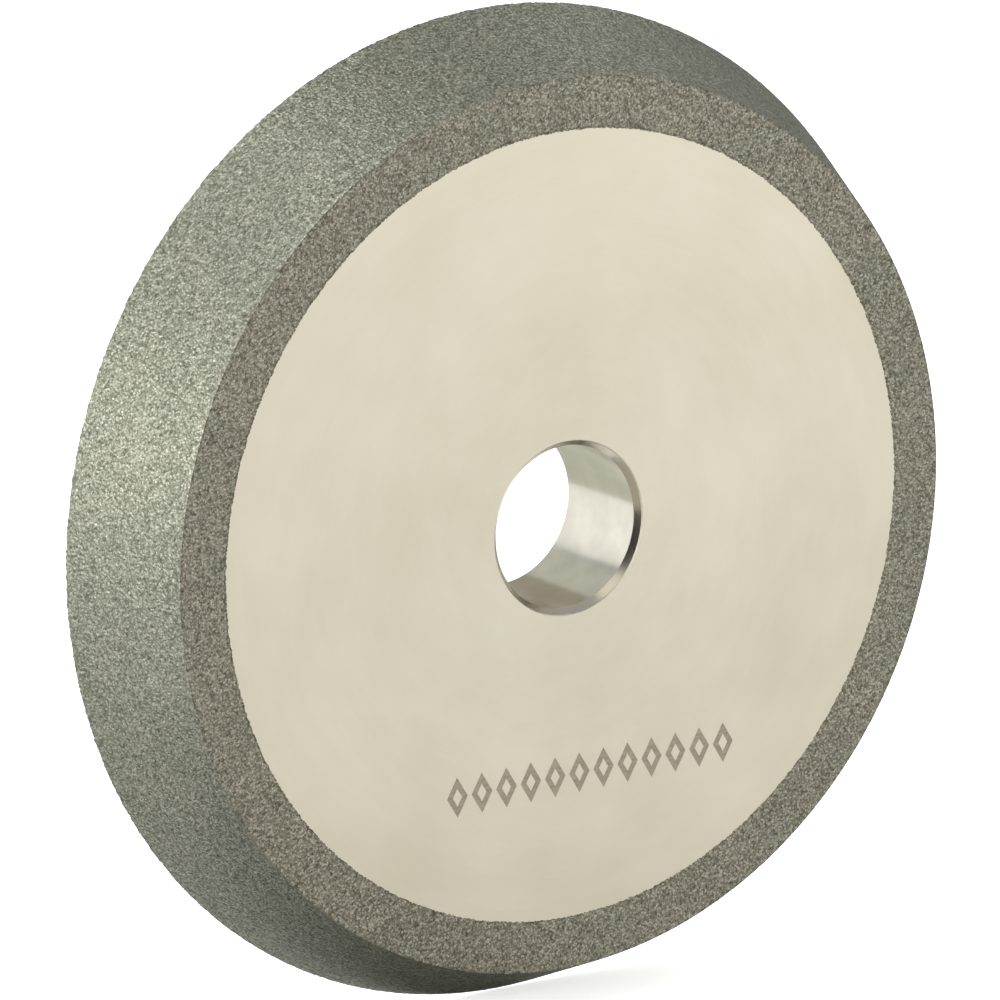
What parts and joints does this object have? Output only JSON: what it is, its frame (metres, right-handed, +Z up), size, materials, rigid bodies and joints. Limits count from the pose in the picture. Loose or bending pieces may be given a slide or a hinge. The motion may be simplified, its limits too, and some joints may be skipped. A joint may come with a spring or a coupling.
{
  "type": "diamond grinding wheel",
  "caption": "Flat electroplated diamond grinding wheel with a conical abrasive flank, an abrasive band round its pale front face and a plain chamfered bore.",
  "frame": {"origin": "on the wheel's axis, halfway through its thickness", "axes": "+Y along the axis, from the front face towards the wider back face; +Z up; the front face looks along -Y"},
  "size_m": [0.078, 0.0098, 0.078],
  "materials": {
    "ground_steel": "satin",
    "nickel_plating": "satin",
    "nickel_bond": "satin",
    "diamond_grit": "matte"
  },
  "bodies": {
    "root": {"steel_core": "ground_steel", "front_nickel_plating": "nickel_plating", "back_nickel_plating": "nickel_plating", "face_nickel_bond": "nickel_bond", "face_diamond_grit": "diamond_grit", "flank_nickel_bond": "nickel_bond", "flank_diamond_grit": "diamond_grit"}
  },
  "joints": []
}
